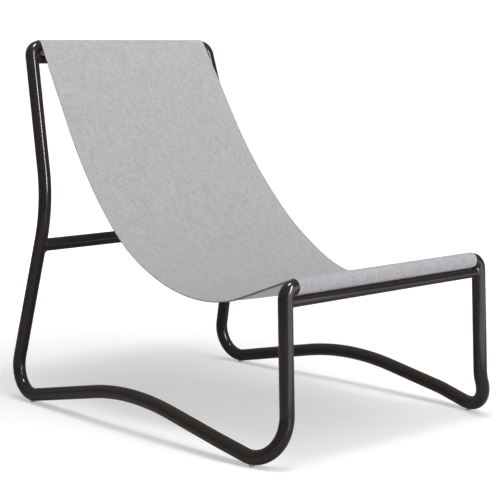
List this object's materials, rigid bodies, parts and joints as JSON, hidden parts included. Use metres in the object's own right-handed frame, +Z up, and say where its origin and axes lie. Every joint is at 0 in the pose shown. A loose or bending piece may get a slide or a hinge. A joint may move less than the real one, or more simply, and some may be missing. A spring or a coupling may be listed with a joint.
{
  "type": "sling lounge chair",
  "caption": "Low beach or lounge chair: a sagging fabric sling between the top and front rails of one bent round-tube loop with arched floor runners.",
  "frame": {"origin": "on the floor, under the middle of the outline of the chair", "axes": "+Z up, +Y to the rear (the sitter faces -Y), +X to the side; the chair is symmetric about X = 0"},
  "size_m": [0.6578, 0.8765, 0.7913],
  "materials": {
    "frame": "satin powder coat, warm charcoal black",
    "sling": "open woven outdoor textile, light grey melange",
    "tape": "woven edge tape, dark warm grey",
    "rod": "pultruded glass fibre rod",
    "glide": "cloudy nylon",
    "bare_steel": "bare drawn tube, hidden inside the rails"
  },
  "bodies": {
    "root": {"left_side_tube": "frame", "right_side_tube": "frame", "front_rail_spigot": "bare_steel", "top_rail_spigot": "bare_steel", "rail_seam_welds": "frame", "rear_brace": "frame", "rear_brace_welds": "frame", "front_brace": "frame", "front_brace_welds": "frame", "top_brace": "frame", "top_brace_welds": "frame", "front_left_glide": "glide", "front_right_glide": "glide", "rear_left_glide": "glide", "rear_right_glide": "glide", "sling_panel": "sling", "front_hem_rod": "rod", "top_hem_rod": "rod", "left_edge_tape": "tape", "right_edge_tape": "tape"}
  },
  "joints": []
}
